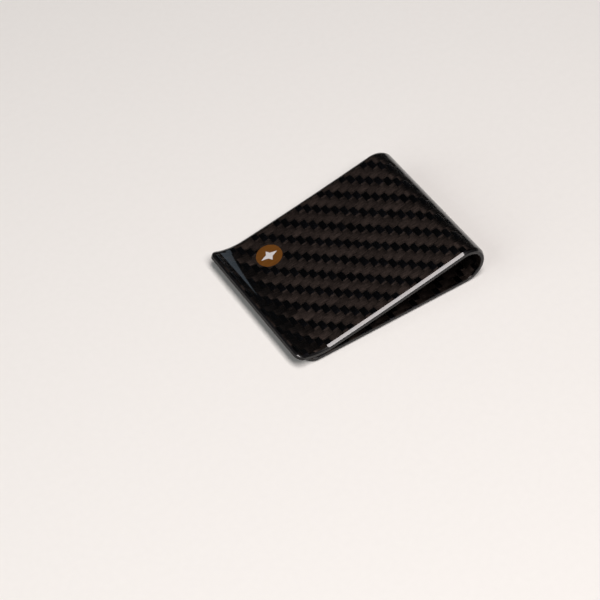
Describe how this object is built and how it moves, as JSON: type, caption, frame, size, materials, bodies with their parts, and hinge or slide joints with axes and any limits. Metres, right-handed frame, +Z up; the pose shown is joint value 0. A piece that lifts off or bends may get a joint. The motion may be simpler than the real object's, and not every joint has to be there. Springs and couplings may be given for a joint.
{
  "type": "money clip",
  "caption": "Springy money clip: one strip of woven carbon laminate bent into a round bow between a flat base leaf and a jaw leaf with an upturned lip.",
  "frame": {"origin": "middle of the footprint, on the underside of the base leaf", "axes": "+X from the bow to the lip, +Y across the strip, away from the side that has the inlay, +Z up from the base leaf to the jaw leaf"},
  "size_m": [0.0508, 0.038, 0.0104],
  "materials": {
    "woven_carbon": "woven 2/2 twill under clear gloss resin",
    "core_carbon": "straight carbon fibre in resin, seen only as fine lines at the rim",
    "inlay": "fine straight grain under clear gloss resin",
    "print": "flat white print under clear gloss resin"
  },
  "bodies": {
    "base": {"base_outer_twill": "woven_carbon", "base_outer_lengthwise_ply": "core_carbon", "base_crosswise_ply": "core_carbon", "base_inner_lengthwise_ply": "core_carbon", "base_inner_twill": "woven_carbon", "bow_outer_twill": "woven_carbon", "bow_outer_lengthwise_ply": "core_carbon", "bow_crosswise_ply": "core_carbon", "bow_inner_lengthwise_ply": "core_carbon", "bow_inner_twill": "woven_carbon"},
    "jaw": {"jaw_outer_twill": "woven_carbon", "jaw_outer_lengthwise_ply": "core_carbon", "jaw_crosswise_ply": "core_carbon", "jaw_inner_lengthwise_ply": "core_carbon", "jaw_inner_twill": "woven_carbon", "badge_inlay": "inlay", "badge_star": "print"}
  },
  "joints": [
    {"name": "jaw_flex", "type": "hinge", "parent": "base", "child": "jaw", "pos_m": [-0.02287, 0, 0.0055], "axis": [0, -1, 0], "range_deg": [0, 12], "stiffness_Nm_per_rad": 2.5, "deforming": ["bow_outer_twill", "bow_outer_lengthwise_ply", "bow_crosswise_ply", "bow_inner_lengthwise_ply", "bow_inner_twill"]}
  ]
}
